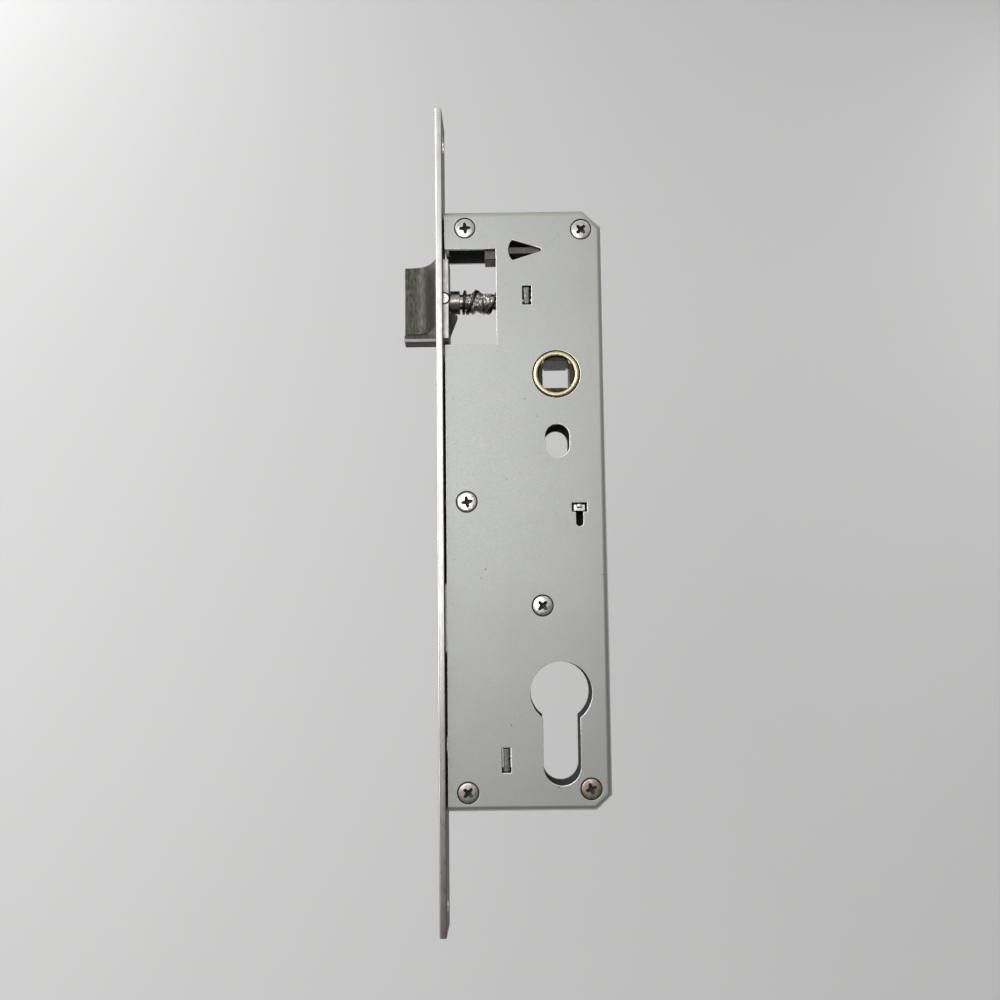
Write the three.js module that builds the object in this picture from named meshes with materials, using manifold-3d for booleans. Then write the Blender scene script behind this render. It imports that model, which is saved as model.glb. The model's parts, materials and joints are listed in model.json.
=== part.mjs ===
// A narrow-stile mortise lock for a euro-profile cylinder: faceplate, two-piece sheet case, spring latch,
// spindle hub, key-driven deadbolt and the springs, posts and screws that hold them together.
//
// Frame, in millimetres: x = 0 is the front of the faceplate and +X runs into the door, z = 0 is the
// spindle axis and +Z is up along the faceplate, y = 0 is the middle of the case. The screws face -Y.

import * as THREE from 'three';
import * as BufferGeometryUtils from 'three/addons/utils/BufferGeometryUtils.js';
import Module from 'manifold-3d';

// ---------------------------------------------------------------------------------------------------
// Driving dimensions
// ---------------------------------------------------------------------------------------------------

const GAP = 0.3; // clearance between pieces that touch on the real lock

const BACKSET = 35; // faceplate front to spindle and cylinder axes
const CENTRES = 92; // spindle axis to cylinder axis

const FACEPLATE = { length: 240, width: 18, thickness: 2, top: 80.5, chamfer: 0.35 };
const FIXING_HOLE = { radius: 2.5, headRadius: 4.6, fromEnd: 8 };
const CYLINDER_SCREW = { radius: 2.7, headRadius: 4.6, z: -106.5 };

const SHEET = 1.2; // case sheet thickness
const CASE = { left: 2.6, right: 49, top: 49, bottom: -125, halfDepth: 8 };
const TOP_CHAMFER = { x: 5.6, z: 5.2 };
const BOTTOM_CHAMFER = { x: 4.4, z: 4.1 };
const BASE_CHAMFER = { x: 3.6, z: 3.3 };
const BEND_RADIUS = 1.6;
const CAM_RELIEF = { top: -85, bottom: -99, fromFace: 1.8 }; // gap in the rear flange for the cylinder's cam
const INNER = CASE.halfDepth - SHEET; // inner face of each case plate
const REACH = INNER - GAP; // how far inner pieces reach towards each plate

const WINDOW = { right: 17.7, top: 37.6, bottom: 9.1 };
const GUIDE_SLOT = { x: 26.7, z: 23.6, width: 2.6, height: 5.6 };
const LOWER_SLOT = { x: 19.25, z: -110.8, width: 2.6, height: 7 };
const OBLONG = { x: BACKSET, z: -19.6, width: 7, height: 9.7 };
const FAN = { left: 22.6, middle: 21.4, apex: 31.1, apexRadius: 0.55, halfHeight: 3.03, z: 37.2 };
const TEE = { x: 41.1, headWidth: 4.4, top: -37.8, neck: -40.4, stemWidth: 2.05, bottom: -44.6 };
const CYLINDER = { radius: 8.85, slotHalfWidth: 5.3, height: 34.9 };
const CYLINDER_REAR_TRIM = 0.25; // the base plate's cut-out is this much tighter all round

const SCREW_PLACES = [[8.7, 44], [42.9, 43.2], [8.6, -37.2], [30.1, -67.3], [8.3, -119.8], [43.1, -119]];
const SCREW_TURNS = [5, 45, 10, 45, 48, 20]; // degrees, how far each cross happens to be turned
const SCREW = { headRadius: 2.85, shankRadius: 1.5, headDepth: 1.35, length: 9.5 };
const CROSS = { halfLength: 1.75, width: 0.6, depth: 1 }; // the recess in each screw head
const POST = { radius: 2.5, boreRadius: 1.85, boreDepth: 10, neckRadius: 1.9 }; // its neck fills the plate
const RIVET = { headRadius: 2.3, radius: 1.4, sunk: 0.05, length: 4.6, places: [43.5, -37.2, -119] };
const LUG = { inner: 2.3, halfHeight: 3.8 }; // the base plate's lugs lie behind the faceplate

const LATCH = { centre: 23.45, height: 24.1, halfThickness: 5.75, projection: 10, rear: 3.7, tipFace: 3.8 };
const SCOOP = { start: 0.2, mouth: 2.6, shoulder: 4.5, slope: 1.2, endWall: 1.2, endRamp: 2.4 };
const GUSSET = { right: 6, halfThickness: 1, top: 2.9, slope: 1.1, edge: 1, foot: 1.4 };
const STEM = { z: 23.6, radius: 2.5, collarRadius: 3.5, collarRight: 6.8, right: 35.3, left: -0.1 };
const LATCH_PIN = { x: 2.2, radius: 1.5 };
const LATCH_SPRING = { inner: 2.85, outer: 3.75 };
const CROSSHEAD = { thickness: 2, bottom: 14.2, top: 27, halfDepth: 4 };
const GUIDE = { thickness: 2, bottom: 17.6, top: 30.6 };

const HUB = { turn: 35, discRadius: 7.2, halfDepth: 4, neckRadius: 5.2, neckReach: 7.2, square: 8 };
const BUSH = { inner: 5.4, outer: 6.7, reach: 8.3, depth: 4 };
const HUB_HOLE = 7; // radius of the plates' hole round each bush
const ARM = { halfDepth: 3, bar: 1.2, tip: 2 };
const SIDE_ARM = { bar: 1.3, tip: 1.3 };

const SLIDE = { left: 42.6, right: 46.4, bottom: -46, halfDepth: 1.5, travel: 5 };
const SLIDE_LUG = { width: 3.4, top: -38.1, height: 2, neckWidth: 1.4, neckHeight: 1 };
const RETURN_SPRING = { x: 44.5, inner: 1.5, outer: 2.1, bottom: -59.4 };
const SPRING_SEAT = { left: 41.6, right: 47.4, thickness: 1.8 };

const BOLT = { centre: -70.5, height: 20, halfThickness: 4.75, length: 22, throw: 12 };
const TAIL = { halfThickness: 1.25, left: 14.3, right: 46.9, top: -62.2, bottom: -72.6, lugBottom: -79.5 };
const TAIL_SLOT = { halfHeight: 2.9, left: 27.2 };
const TAIL_LUGS = [[25.5, 29.5], [40.5, 44.5]];
const TAIL_RIVETS = [-66, -75];
const DETENT = { nose: 30, noseDepth: 0.8, notchRadius: 1.3, width: 3, thickness: 0.5 };
const DETENT_POST = { x: 20, z: -52.4, radius: 2 };
const LEAF = { rootLeft: 2.5, rootRight: 3, tipX: 2.4, tipZ: 3.4 }; // the leaf's ends, from its post and nose

const CATCH = { pivotX: 33.2, pivotZ: 37.5, eyeRadius: 2.4, halfHeight: 0.95, thickness: 2, left: 14.4 };
const CATCH_BLOCK = { right: 17.6, drop: 2.55, height: 4, far: 2 };
const CATCH_PIN_RADIUS = 1.2;
const CATCH_SPRING = { outer: 2.3, length: 3.7 };
const SCREW_GUIDE = { bottom: -120.5, top: -101.5, thickness: 2 };

const ROUND = 48; // facets round a large circle
const MEDIUM_ROUND = 32; // facets round a screw head, post or stem
const SMALL_ROUND = 24; // facets round a pin
const ARC_STEPS = 16; // steps along each arc of an outline, doubled by the geometry classes

// ---------------------------------------------------------------------------------------------------
// Finishes
// ---------------------------------------------------------------------------------------------------

const finish = (color, roughness) => new THREE.MeshStandardMaterial({ color, roughness, metalness: 1 });

const ZINC_SHEET = finish(0xb4bab6, 0.5);
const STAINLESS = finish(0xd2d0cc, 0.35);
const CAST_METAL = finish(0x77736a, 0.45);
const BRASS = finish(0xcbb87a, 0.35);
const DARK_STEEL = finish(0x6d6b66, 0.5);
const BRIGHT_STEEL = finish(0xc9c8c4, 0.3);
const SPRING_WIRE = finish(0x5d5a52, 0.35);

// ---------------------------------------------------------------------------------------------------
// Solid helpers
// ---------------------------------------------------------------------------------------------------

const wasm = await Module();
wasm.setup();

const lock = new THREE.Group();
const radians = THREE.MathUtils.degToRad;

/** A manifold solid from a closed three.js geometry. */
function solid(geometry) {
  const bare = geometry.clone();
  bare.deleteAttribute('normal');
  bare.deleteAttribute('uv');
  const merged = BufferGeometryUtils.mergeVertices(bare, 1e-4);
  return new wasm.Manifold(new wasm.Mesh({
    numProp: 3,
    vertProperties: new Float32Array(merged.attributes.position.array),
    triVerts: new Uint32Array(merged.index.array),
  }));
}

/** Adds a finished piece to the lock under its own name. */
function addPiece(name, body, material) {
  const mesh = body.getMesh();
  const geometry = new THREE.BufferGeometry();
  geometry.setAttribute('position', new THREE.BufferAttribute(mesh.vertProperties, 3));
  geometry.setIndex(new THREE.BufferAttribute(mesh.triVerts, 1));
  geometry.computeVertexNormals();
  const piece = new THREE.Mesh(geometry, material);
  piece.name = name;
  lock.add(piece);
}

/** An outline drawn in (x, z), extruded along y from near to far. */
function slab(shape, near, far, curveSegments = 8) {
  const options = { depth: far - near, bevelEnabled: false, curveSegments };
  return solid(new THREE.ExtrudeGeometry(shape, options).rotateX(Math.PI / 2).translate(0, far, 0));
}

/** An outline drawn in (x, y), extruded along z from bottom to top. */
function column(shape, bottom, top) {
  const options = { depth: top - bottom, bevelEnabled: false };
  return solid(new THREE.ExtrudeGeometry(shape, options).translate(0, 0, bottom));
}

/** A block between two opposite corners. */
function block(x1, x2, y1, y2, z1, z2) {
  const geometry = new THREE.BoxGeometry(x2 - x1, y2 - y1, z2 - z1);
  return solid(geometry.translate((x1 + x2) / 2, (y1 + y2) / 2, (z1 + z2) / 2));
}

/** A round bar along y between near and far, centred on (x, z). */
function barAlongY(x, z, radius, near, far, facets = SMALL_ROUND) {
  const geometry = new THREE.CylinderGeometry(radius, radius, far - near, facets);
  return solid(geometry.translate(x, (near + far) / 2, z));
}

/** A cone along y whose radius goes from nearRadius at near to farRadius at far. */
function coneAlongY(x, z, near, nearRadius, far, farRadius, facets = SMALL_ROUND) {
  const geometry = new THREE.CylinderGeometry(farRadius, nearRadius, far - near, facets);
  return solid(geometry.translate(x, (near + far) / 2, z));
}

/** A round bar or cone along x between left and right, centred on (y, z). */
function barAlongX(y, z, left, leftRadius, right, rightRadius = leftRadius, facets = SMALL_ROUND) {
  const geometry = new THREE.CylinderGeometry(rightRadius, leftRadius, right - left, facets);
  return solid(geometry.rotateZ(-Math.PI / 2).translate((left + right) / 2, y, z));
}

/** A ring round a local y axis, from near to far. */
function ring(inner, outer, near, far, facets = ROUND) {
  const corners = [[inner, near], [outer, near], [outer, far], [inner, far], [inner, near]];
  return new THREE.LatheGeometry(corners.map(([r, y]) => new THREE.Vector2(r, y)), facets);
}

/** A closed outline through the given corners. */
function polygon(corners) {
  return new THREE.Shape(corners.map(([a, b]) => new THREE.Vector2(a, b)));
}

/** An oblong centred on (x, z), with ends as round as its shorter side allows. */
function roundedSlot({ x, z, width, height }) {
  const flat = 0.02; // the straight stretch that is left between two corners of a round end
  const corner = (Math.min(width, height) - flat) / 2;
  const right = x + width / 2 - corner;
  const left = x - width / 2 + corner;
  const top = z + height / 2 - corner;
  const bottom = z - height / 2 + corner;
  const shape = new THREE.Shape();
  shape.moveTo(left, bottom - corner);
  shape.absarc(right, bottom, corner, -Math.PI / 2, 0);
  shape.absarc(right, top, corner, 0, Math.PI / 2);
  shape.absarc(left, top, corner, Math.PI / 2, Math.PI);
  shape.absarc(left, bottom, corner, Math.PI, Math.PI * 1.5);
  return shape;
}

/** A straight bar from one point to another in (x, z), with a round at its far end. */
function arm(fromX, fromZ, length, angle, bar, tip, halfDepth) {
  const dx = Math.cos(angle);
  const dz = Math.sin(angle);
  const toX = fromX + length * dx;
  const toZ = fromZ + length * dz;
  const corners = [
    [fromX + bar * dz, fromZ - bar * dx],
    [toX + bar * dz, toZ - bar * dx],
    [toX - bar * dz, toZ + bar * dx],
    [fromX - bar * dz, fromZ + bar * dx],
  ];
  const roundEnd = barAlongY(toX, toZ, tip, -halfDepth, halfDepth, ROUND);
  return slab(polygon(corners), -halfDepth, halfDepth).add(roundEnd);
}

// ---------------------------------------------------------------------------------------------------
// Case: faceplate, cover tray, base plate
// ---------------------------------------------------------------------------------------------------

const OVERSHOOT = 3; // how far a cutting tool runs past the face that it cuts
const CLEAR = 1; // the same, where a neighbouring face is close
const SKIN = 0.001; // lifts a countersink's wide end just off the face that it opens on

/** The case outline from a left edge to its rear edge less the inset, with both rear corners chamfered. */
function caseOutline(left, inset, lowerChamfer) {
  const right = CASE.right - inset;
  const top = CASE.top - inset;
  const bottom = CASE.bottom + inset;
  return polygon([
    [left, bottom],
    [right - lowerChamfer.x, bottom],
    [right, bottom + lowerChamfer.z],
    [right, top - TOP_CHAMFER.z],
    [right - TOP_CHAMFER.x, top],
    [left, top],
  ]);
}

/** The euro-profile cut-out: a round on the cylinder axis and a round-ended slot below it. */
function cylinderOutline(trim) {
  const radius = CYLINDER.radius - trim;
  const half = CYLINDER.slotHalfWidth - trim / 2;
  const slotEnd = -CENTRES + CYLINDER.radius - CYLINDER.height + trim + half;
  const opening = Math.asin(half / radius);
  const shape = new THREE.Shape();
  shape.absarc(BACKSET, -CENTRES, radius, -Math.PI / 2 + opening, Math.PI * 1.5 - opening);
  shape.absarc(BACKSET, slotEnd, half, Math.PI, Math.PI * 2);
  return shape;
}

/** The fan-shaped hole: a bulging left side and straight sides that meet in a narrow right end. */
function fanOutline() {
  const sagitta = FAN.left - FAN.middle;
  const radius = (FAN.halfHeight ** 2 + sagitta ** 2) / (2 * sagitta);
  const spread = Math.asin(FAN.halfHeight / radius);
  const shape = new THREE.Shape();
  shape.absarc(FAN.middle + radius, FAN.z, radius, Math.PI - spread, Math.PI + spread);
  shape.absarc(FAN.apex - FAN.apexRadius, FAN.z, FAN.apexRadius, -Math.PI * 0.4, Math.PI * 0.4);
  return shape;
}

/** The T-shaped slot: a wide head and a narrow stem with a round lower end. */
function teeOutline() {
  const half = TEE.stemWidth / 2;
  const headLeft = TEE.x - TEE.headWidth / 2;
  const headRight = TEE.x + TEE.headWidth / 2;
  const shape = new THREE.Shape();
  shape.moveTo(headRight, TEE.neck);
  shape.lineTo(headRight, TEE.top);
  shape.lineTo(headLeft, TEE.top);
  shape.lineTo(headLeft, TEE.neck);
  shape.lineTo(TEE.x - half, TEE.neck);
  shape.absarc(TEE.x, TEE.bottom + half, half, Math.PI, Math.PI * 2);
  shape.lineTo(TEE.x + half, TEE.neck);
  return shape;
}

/** Every opening that both case plates share, as solids between two depths. */
function sharedOpenings(near, far, cylinderTrim) {
  const windowLeft = CASE.left - OVERSHOOT;
  const window = polygon([
    [windowLeft, WINDOW.bottom],
    [WINDOW.right, WINDOW.bottom],
    [WINDOW.right, WINDOW.top],
    [windowLeft, WINDOW.top],
  ]);
  const outlines = [window, roundedSlot(OBLONG)];
  const slots = [GUIDE_SLOT, LOWER_SLOT].map(({ x, z, width, height }) => block(
    x - width / 2, x + width / 2, near, far, z - height / 2, z + height / 2));
  const holes = outlines.map((outline) => slab(outline, near, far, ARC_STEPS / 2));
  holes.push(slab(cylinderOutline(cylinderTrim), near, far, ARC_STEPS));
  holes.push(barAlongY(BACKSET, 0, HUB_HOLE, near, far, ROUND));
  return [...holes, ...slots];
}

function buildCoverTray() {
  const outer = caseOutline(CASE.left - OVERSHOOT, 0, BOTTOM_CHAMFER);
  const rounded = new THREE.ExtrudeGeometry(outer, {
    depth: CASE.halfDepth + REACH,
    bevelThickness: BEND_RADIUS,
    bevelSize: BEND_RADIUS,
    bevelOffset: -BEND_RADIUS,
    bevelSegments: 4,
  });
  // the bevel adds its thickness at both ends: the near one lands on the outer face, the far one is cut off
  rounded.rotateX(Math.PI / 2).translate(0, REACH + BEND_RADIUS, 0);
  let tray = solid(rounded);
  const hollow = caseOutline(CASE.left - 2 * OVERSHOOT, SHEET, BOTTOM_CHAMFER);
  tray = tray.subtract(slab(hollow, -INNER, REACH + 2 * OVERSHOOT));
  const left = CASE.left - 2 * OVERSHOOT;
  const right = CASE.right + OVERSHOOT;
  const depth = CASE.halfDepth + OVERSHOOT;
  const bottom = CASE.bottom - OVERSHOOT;
  const top = CASE.top + OVERSHOOT;
  tray = tray.subtract(block(left, right, REACH, depth, bottom, top));
  tray = tray.subtract(block(left, CASE.left, -depth, depth, bottom, top));
  const reliefNear = -CASE.halfDepth + CAM_RELIEF.fromFace;
  tray = tray.subtract(block(
    CASE.right - 2 * SHEET, right, reliefNear, depth, CAM_RELIEF.bottom, CAM_RELIEF.top));
  const near = -CASE.halfDepth - CLEAR;
  const far = -INNER + CLEAR;
  const coverOnly = [fanOutline(), teeOutline()].map((outline) => slab(outline, near, far, ARC_STEPS / 2));
  for (const hole of [...sharedOpenings(near, far, 0), ...coverOnly]) {
    tray = tray.subtract(hole);
  }
  for (const [x, z] of SCREW_PLACES) {
    const headRadius = SCREW.headRadius + GAP;
    const neckRadius = SCREW.shankRadius + GAP;
    tray = tray.subtract(coneAlongY(
      x, z, -CASE.halfDepth - SKIN, headRadius, -CASE.halfDepth + SCREW.headDepth, neckRadius, MEDIUM_ROUND));
    tray = tray.subtract(barAlongY(x, z, neckRadius, -CASE.halfDepth, -INNER + CLEAR));
  }
  addPiece('cover_tray', tray, ZINC_SHEET);
}

function buildBasePlate() {
  let plate = slab(caseOutline(CASE.left, 0, BASE_CHAMFER), INNER, CASE.halfDepth);
  for (const z of RIVET.places) {
    const bottom = z - LUG.halfHeight;
    const top = z + LUG.halfHeight;
    const lug = block(LUG.inner, LUG.inner + SHEET, -REACH, INNER + SHEET / 2, bottom, top);
    const root = block(LUG.inner, CASE.left + SHEET, INNER, CASE.halfDepth, bottom, top);
    plate = plate.add(lug).add(root);
    plate = plate.subtract(barAlongX(0, z, LUG.inner - CLEAR, RIVET.radius + GAP, LUG.inner + SHEET + CLEAR));
  }
  for (const hole of sharedOpenings(INNER - CLEAR, CASE.halfDepth + CLEAR, CYLINDER_REAR_TRIM)) {
    plate = plate.subtract(hole);
  }
  for (const [x, z] of SCREW_PLACES) {
    plate = plate.subtract(barAlongY(
      x, z, POST.neckRadius + GAP, INNER - CLEAR, CASE.halfDepth + CLEAR, MEDIUM_ROUND));
  }
  addPiece('base_plate', plate, ZINC_SHEET);
}

function buildFaceplate() {
  const { length, width, thickness, top, chamfer } = FACEPLATE;
  const bottom = top - length;
  const section = polygon([
    [0, -width / 2 + chamfer], [chamfer, -width / 2], [thickness, -width / 2],
    [thickness, width / 2], [chamfer, width / 2], [0, width / 2 - chamfer],
  ]);
  let plate = column(section, bottom, top);
  const openings = [
    { centre: LATCH.centre, height: LATCH.height, half: LATCH.halfThickness },
    { centre: BOLT.centre, height: BOLT.height, half: BOLT.halfThickness },
  ];
  for (const { centre, height, half } of openings) {
    const reach = height / 2 + GAP;
    plate = plate.subtract(block(
      -CLEAR, thickness + CLEAR, -half - GAP, half + GAP, centre - reach, centre + reach));
  }
  const fixings = [top - FIXING_HOLE.fromEnd, bottom + FIXING_HOLE.fromEnd];
  const countersunk = [
    ...fixings.map((z) => ({ z, radius: FIXING_HOLE.radius, headRadius: FIXING_HOLE.headRadius })),
    { z: CYLINDER_SCREW.z, radius: CYLINDER_SCREW.radius, headRadius: CYLINDER_SCREW.headRadius },
    ...RIVET.places.map((z) => ({ z, radius: RIVET.radius + GAP, headRadius: RIVET.headRadius + GAP })),
  ];
  for (const { z, radius, headRadius } of countersunk) {
    plate = plate.subtract(barAlongX(0, z, -CLEAR, radius, thickness + CLEAR, radius, ROUND));
    plate = plate.subtract(barAlongX(0, z, -SKIN, headRadius, headRadius - radius, radius, ROUND));
  }
  addPiece('faceplate', plate, STAINLESS);
}

/** Flush rivets through the faceplate and the base plate's lugs. */
function buildFaceplateRivets() {
  const { headRadius, radius, sunk, length, places } = RIVET;
  const neck = headRadius - radius;
  places.forEach((z, index) => {
    const head = barAlongX(0, z, sunk, headRadius, neck, radius);
    const shank = barAlongX(0, z, neck / 2, radius, length);
    addPiece(`faceplate_rivet_${index + 1}`, head.add(shank), STAINLESS);
  });
}

/** Threaded posts between the plates, and the countersunk cross-head screws that go into them. */
function buildPostsAndScrews() {
  SCREW_PLACES.forEach(([x, z], index) => {
    const bore = barAlongY(x, z, POST.boreRadius, -REACH - CLEAR, -REACH + POST.boreDepth);
    const neck = barAlongY(x, z, POST.neckRadius, REACH - CLEAR, CASE.halfDepth, MEDIUM_ROUND);
    const post = barAlongY(x, z, POST.radius, -REACH, REACH, MEDIUM_ROUND).add(neck).subtract(bore);
    addPiece(`case_post_${index + 1}`, post, BRIGHT_STEEL);

    const face = -CASE.halfDepth;
    const headEnd = face + SCREW.headDepth;
    const head = coneAlongY(x, z, face, SCREW.headRadius, headEnd, SCREW.shankRadius, MEDIUM_ROUND);
    const shank = barAlongY(x, z, SCREW.shankRadius, headEnd - SHEET / 4, face + SCREW.length);
    let screw = head.add(shank);
    for (const turn of [0, 90]) {
      const bar = new THREE.BoxGeometry(2 * CROSS.halfLength, 2 * CROSS.depth, CROSS.width);
      bar.rotateY(radians(SCREW_TURNS[index] + turn)).translate(x, face, z);
      screw = screw.subtract(solid(bar));
    }
    addPiece(`case_screw_${index + 1}`, screw, BRIGHT_STEEL);
  });
}

// ---------------------------------------------------------------------------------------------------
// Latch: head, pin, stem, spring, crosshead, guide
// ---------------------------------------------------------------------------------------------------

const LATCH_BOTTOM = LATCH.centre - LATCH.height / 2;
const LATCH_TOP = LATCH.centre + LATCH.height / 2;
const ARM_LEAN = radians(HUB.turn / 2); // the hub's arms start and finish equally far from square
const ARM_LENGTH = LATCH.projection / (2 * Math.sin(ARM_LEAN));
const CROSSHEAD_LEFT = BACKSET - ARM_LENGTH * Math.sin(ARM_LEAN) + ARM.tip + GAP;
const GUSSET_NOTCH_TOP = STEM.z - GUSSET.top + GAP; // the collar is notched over the gusset

/** The part of the bevelled side that the scoop takes away, drawn in (x, y). */
function scoopOutline() {
  const half = LATCH.halfThickness;
  const shape = new THREE.Shape();
  shape.moveTo(-LATCH.projection - OVERSHOOT, -half - OVERSHOOT);
  shape.lineTo(-SCOOP.start, -half - OVERSHOOT);
  shape.lineTo(-SCOOP.start, -half);
  shape.bezierCurveTo(
    -SCOOP.mouth, LATCH.tipFace - SCOOP.slope,
    -SCOOP.shoulder, LATCH.tipFace,
    -LATCH.projection, LATCH.tipFace);
  shape.lineTo(-LATCH.projection - OVERSHOOT, LATCH.tipFace);
  return shape;
}

function buildLatchHead() {
  const half = LATCH.halfThickness;
  let head = block(-LATCH.projection, LATCH.rear, -half, half, LATCH_BOTTOM, LATCH_TOP);
  const scoop = new THREE.ExtrudeGeometry(scoopOutline(), {
    depth: LATCH.height,
    bevelThickness: SCOOP.endRamp,
    bevelSize: SCOOP.endRamp,
    bevelOffset: -SCOOP.endRamp,
    bevelSegments: 1,
    curveSegments: ARC_STEPS,
  });
  scoop.translate(0, 0, LATCH_BOTTOM + SCOOP.endWall + SCOOP.endRamp);
  head = head.subtract(solid(scoop));
  const gussetTop = STEM.z - GUSSET.top;
  const gussetFoot = LATCH_BOTTOM + GUSSET.foot;
  const gusset = polygon([
    [LATCH.rear - CLEAR, gussetTop],
    [GUSSET.right, gussetTop - GUSSET.slope],
    [GUSSET.right, gussetTop - GUSSET.slope - GUSSET.edge],
    [LATCH.rear, gussetFoot],
    [LATCH.rear - CLEAR, gussetFoot],
  ]);
  head = head.add(slab(gusset, -GUSSET.halfThickness, GUSSET.halfThickness));
  head = head.subtract(barAlongX(0, STEM.z, STEM.left - GAP, STEM.radius + GAP, LATCH.rear + CLEAR));
  head = head.subtract(barAlongY(LATCH_PIN.x, STEM.z, LATCH_PIN.radius + GAP, -half - CLEAR, half + CLEAR));
  addPiece('latch_head', head, CAST_METAL);
}

function buildLatchTail() {
  const half = LATCH.halfThickness;
  const { collarRadius, collarRight } = STEM;
  const notchHalf = GUSSET.halfThickness + GAP;
  let stem = barAlongX(0, STEM.z, STEM.left, STEM.radius, STEM.right, STEM.radius, MEDIUM_ROUND);
  stem = stem.add(barAlongX(
    0, STEM.z, LATCH.rear + GAP, collarRadius, collarRight, collarRadius, MEDIUM_ROUND));
  stem = stem.subtract(barAlongY(LATCH_PIN.x, STEM.z, LATCH_PIN.radius + GAP, -half, half));
  stem = stem.subtract(block(
    LATCH.rear, collarRight + CLEAR, -notchHalf, notchHalf, STEM.z - collarRadius - CLEAR, GUSSET_NOTCH_TOP));
  addPiece('latch_stem', stem, DARK_STEEL);
  addPiece('latch_pin', barAlongY(LATCH_PIN.x, STEM.z, LATCH_PIN.radius, -half, half), BRIGHT_STEEL);

  const { thickness, halfDepth, bottom, top } = CROSSHEAD;
  const crossheadRight = CROSSHEAD_LEFT + thickness;
  let crosshead = block(CROSSHEAD_LEFT, crossheadRight, -halfDepth, halfDepth, bottom, top);
  crosshead = crosshead.subtract(barAlongX(
    0, STEM.z, CROSSHEAD_LEFT - CLEAR, STEM.radius + GAP, crossheadRight + CLEAR));
  addPiece('latch_crosshead', crosshead, DARK_STEEL);
}

function buildLatchGuideAndSpring() {
  const left = GUIDE_SLOT.x - GUIDE.thickness / 2;
  const right = GUIDE_SLOT.x + GUIDE.thickness / 2;
  const tabHalf = GUIDE_SLOT.height / 2 - GAP;
  const tabReach = CASE.halfDepth - GAP;
  let guide = block(left, right, -REACH, REACH, GUIDE.bottom, GUIDE.top);
  guide = guide.add(block(left, right, -tabReach, tabReach, GUIDE_SLOT.z - tabHalf, GUIDE_SLOT.z + tabHalf));
  guide = guide.subtract(barAlongX(0, STEM.z, left - CLEAR, STEM.radius + GAP, right + CLEAR));
  addPiece('latch_guide', guide, BRIGHT_STEEL);

  const coil = ring(LATCH_SPRING.inner, LATCH_SPRING.outer, STEM.collarRight + GAP, left - GAP, MEDIUM_ROUND);
  addPiece('latch_spring', solid(coil.rotateZ(-Math.PI / 2).translate(0, 0, STEM.z)), SPRING_WIRE);
}

// ---------------------------------------------------------------------------------------------------
// Hub, its bushes, and the slide that returns it
// ---------------------------------------------------------------------------------------------------

const SIDE_ARM_LENGTH = SLIDE.travel / (2 * Math.sin(ARM_LEAN));
const SLIDE_TOP = SIDE_ARM_LENGTH * Math.sin(ARM_LEAN) - SIDE_ARM.tip - GAP;

function buildHub() {
  const { discRadius, halfDepth, neckRadius, neckReach, square } = HUB;
  let hub = barAlongY(BACKSET, 0, discRadius, -halfDepth, halfDepth, ROUND);
  hub = hub.add(barAlongY(BACKSET, 0, neckRadius, -neckReach, neckReach, ROUND));
  hub = hub.add(arm(BACKSET, 0, ARM_LENGTH, Math.PI / 2 + ARM_LEAN, ARM.bar, ARM.tip, ARM.halfDepth));
  hub = hub.add(arm(BACKSET, 0, SIDE_ARM_LENGTH, ARM_LEAN, SIDE_ARM.bar, SIDE_ARM.tip, ARM.halfDepth));
  const side = square / 2;
  const cut = neckReach + CLEAR;
  hub = hub.subtract(block(BACKSET - side, BACKSET + side, -cut, cut, -side, side));
  addPiece('hub', hub, DARK_STEEL);
}

function buildHubBushes() {
  const { inner, outer, reach, depth } = BUSH;
  const front = ring(inner, outer, -reach, -reach + depth - GAP).translate(BACKSET, 0, 0);
  const back = ring(inner, outer, reach - depth + GAP, reach).translate(BACKSET, 0, 0);
  addPiece('hub_bush_front', solid(front), BRASS);
  addPiece('hub_bush_back', solid(back), BRASS);
}

function buildReturnSlide() {
  const { left, right, bottom, halfDepth } = SLIDE;
  const { width, top, height, neckWidth, neckHeight } = SLIDE_LUG;
  let slide = block(left, right, -halfDepth, halfDepth, bottom, SLIDE_TOP);
  slide = slide.add(block(TEE.x - width / 2, TEE.x + width / 2, -REACH, halfDepth, top - height, top));
  slide = slide.add(block(
    TEE.x - neckWidth / 2, TEE.x + neckWidth / 2, -CASE.halfDepth + GAP, 0, top - neckHeight, top));
  addPiece('return_slide', slide, BRIGHT_STEEL);

  const { x, inner, outer, bottom: springBottom } = RETURN_SPRING;
  const coil = ring(inner, outer, springBottom, bottom - GAP, SMALL_ROUND);
  addPiece('return_spring', solid(coil.rotateX(Math.PI / 2).translate(x, 0, 0)), SPRING_WIRE);

  const seatTop = springBottom - GAP;
  const seatBottom = seatTop - SPRING_SEAT.thickness;
  const seat = block(SPRING_SEAT.left, SPRING_SEAT.right, -REACH, REACH, seatBottom, seatTop);
  addPiece('return_spring_seat', seat, ZINC_SHEET);
}

// ---------------------------------------------------------------------------------------------------
// Deadbolt, its tail and detent
// ---------------------------------------------------------------------------------------------------

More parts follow.
